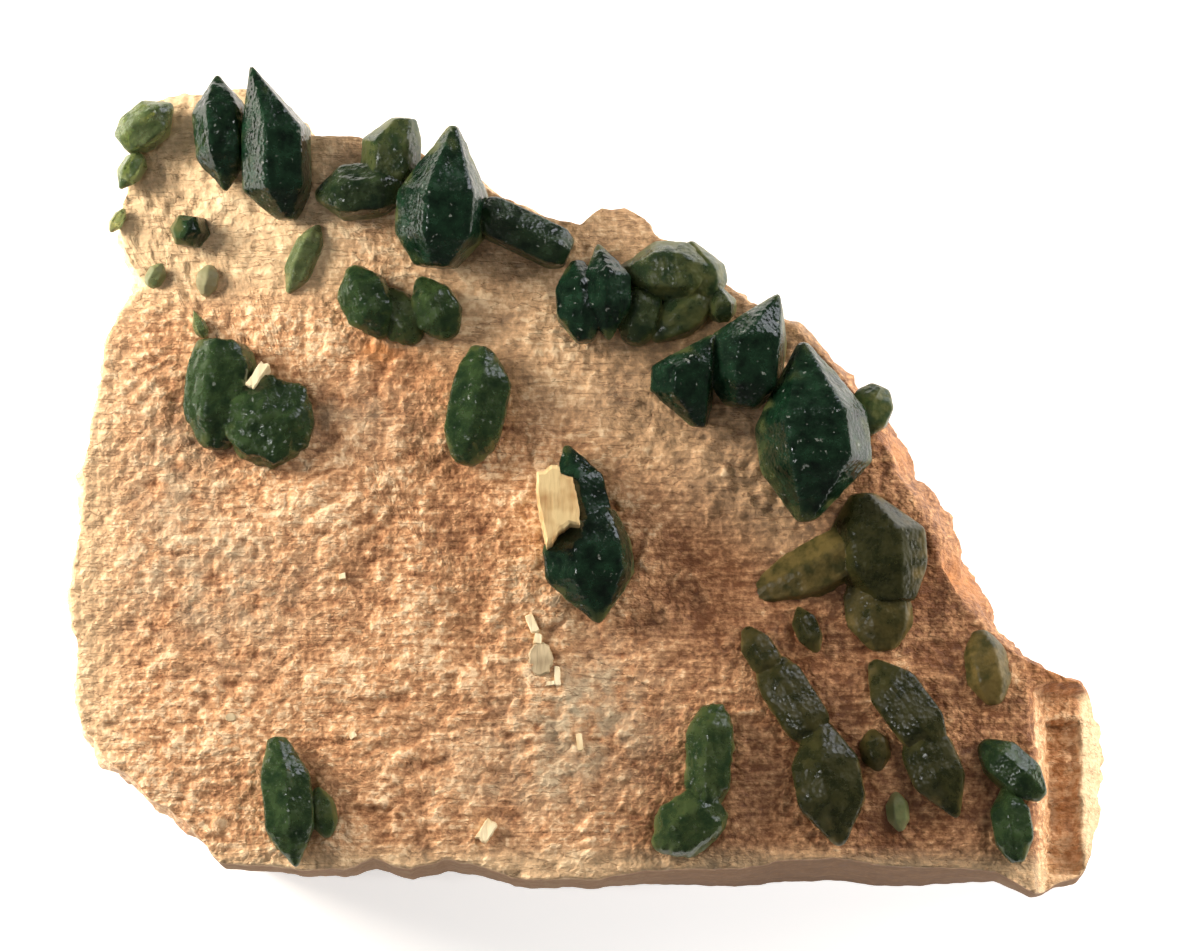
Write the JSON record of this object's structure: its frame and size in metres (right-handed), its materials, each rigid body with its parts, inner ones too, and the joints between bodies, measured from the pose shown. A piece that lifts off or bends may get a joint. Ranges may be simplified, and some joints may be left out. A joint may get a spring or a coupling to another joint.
{
  "type": "fluorapatite on matrix",
  "caption": "Slab of pink feldspar rock lying on its flat back, with stubby six-sided dark green apatite crystals grown along its curved upper edge and scattered over its face.",
  "frame": {"origin": "centre of the footprint, on the flat back that the slab rests on", "axes": "+X along the straight smooth front wall, towards the stepped right end; +Y across the face, away from that wall; +Z out of the crystal face"},
  "size_m": [0.1394, 0.112, 0.0367],
  "materials": {
    "feldspar": "matt broken cleavage faces",
    "apatite": "vitreous, etched, see-through at thin edges",
    "cream_feldspar": "satin cleavage face"
  },
  "bodies": {
    "root": {"matrix": "feldspar", "feldspar_blade": "cream_feldspar", "corner_crystals": "apatite", "rim_chip": "apatite", "button_crystal": "apatite", "pale_chip": "apatite", "pale_bud": "apatite", "pale_blade": "apatite", "summit_crystals": "apatite", "upper_ridge_crystals": "apatite", "middle_ridge_crystals": "apatite", "lower_ridge_crystals": "apatite", "green_pair": "apatite", "spike": "apatite", "left_crystals": "apatite", "rounded_crystal": "apatite", "centre_crystals": "apatite", "olive_crystals": "apatite", "upper_green_chip": "apatite", "leaf_crystals": "apatite", "long_blade_crystals": "apatite", "dark_chip": "apatite", "olive_chip": "apatite", "sunken_crystal": "apatite", "right_edge_crystals": "apatite", "frosted_crystals": "apatite", "spindle_crystals": "apatite"}
  },
  "joints": []
}
